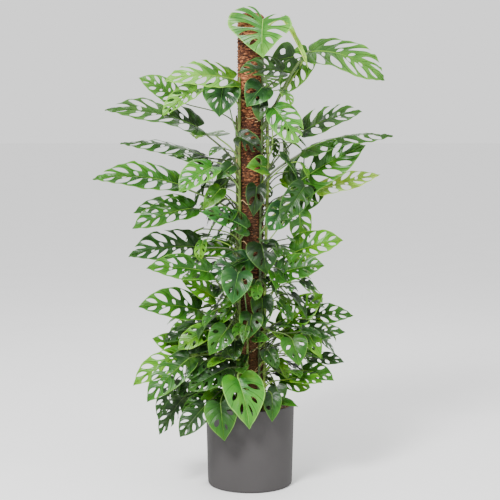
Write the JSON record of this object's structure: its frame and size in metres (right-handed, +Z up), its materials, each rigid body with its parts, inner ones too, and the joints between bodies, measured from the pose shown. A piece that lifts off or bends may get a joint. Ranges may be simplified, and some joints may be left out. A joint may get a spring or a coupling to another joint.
{
  "type": "potted monstera adansonii",
  "caption": "Climbing house plant with long holed leaves, grown up a coir pole in a plain round pot.",
  "frame": {"origin": "centre of the pot's flat bottom face, on the surface that it stands on", "axes": "+Z up along the coir pole, -Y towards the side that most leaves face, +X to the right as seen from that side"},
  "size_m": [0.8802, 0.4951, 1.444],
  "materials": {
    "pot": "matte dark grey",
    "soil": "loose, moist potting mix",
    "stake": "plain sawn",
    "coir": "rough wound coconut fibre",
    "stem": "smooth, slightly waxy",
    "leaf_dark": "glossy leaf, dark green",
    "leaf_mid": "glossy leaf, mid green",
    "leaf_bright": "glossy leaf, bright green",
    "leaf_pale": "glossy leaf, pale green",
    "leaf_blue": "glossy leaf, bluish green",
    "leaf_yellow": "glossy leaf, yellow-green"
  },
  "bodies": {
    "root": {"pot": "pot", "soil": "soil", "pole_stake": "stake", "pole_coir": "coir", "stem_left": "stem", "stem_crown": "stem", "stem_right": "stem", "stem_front": "stem", "stem_back_left": "stem", "stem_back_right": "stem", "leaf_crown_1": "leaf_pale", "leaf_crown_2": "leaf_yellow", "leaf_crown_3": "leaf_mid", "leaf_crown_4": "leaf_dark", "leaf_crown_5": "leaf_blue", "leaf_right_1": "leaf_pale", "leaf_right_2": "leaf_dark", "leaf_right_3": "leaf_dark", "leaf_right_4": "leaf_mid", "leaf_right_5": "leaf_yellow", "leaf_right_6": "leaf_dark", "leaf_right_7": "leaf_blue", "leaf_right_8": "leaf_bright", "leaf_right_9": "leaf_mid", "leaf_right_10": "leaf_bright", "leaf_right_11": "leaf_mid", "leaf_right_12": "leaf_dark", "leaf_right_13": "leaf_mid", "leaf_pole_1": "leaf_dark", "leaf_pole_2": "leaf_bright", "leaf_pole_3": "leaf_dark", "leaf_pole_4": "leaf_blue", "leaf_pole_5": "leaf_dark", "leaf_pole_6": "leaf_blue", "leaf_pole_7": "leaf_blue", "leaf_pole_8": "leaf_mid", "leaf_pole_9": "leaf_mid", "leaf_front_1": "leaf_pale", "leaf_front_2": "leaf_mid", "leaf_front_3": "leaf_mid", "leaf_left_1": "leaf_bright", "leaf_left_2": "leaf_bright", "leaf_left_3": "leaf_blue", "leaf_left_4": "leaf_dark", "leaf_left_5": "leaf_dark", "leaf_left_6": "leaf_mid", "leaf_left_7": "leaf_pale", "leaf_left_8": "leaf_mid", "leaf_left_9": "leaf_mid", "leaf_left_10": "leaf_dark", "leaf_left_11": "leaf_mid", "leaf_left_12": "leaf_mid", "leaf_left_13": "leaf_bright", "leaf_left_14": "leaf_mid", "leaf_left_15": "leaf_bright", "leaf_left_16": "leaf_bright", "leaf_left_17": "leaf_mid", "leaf_left_18": "leaf_dark", "leaf_left_19": "leaf_dark"}
  },
  "joints": []
}
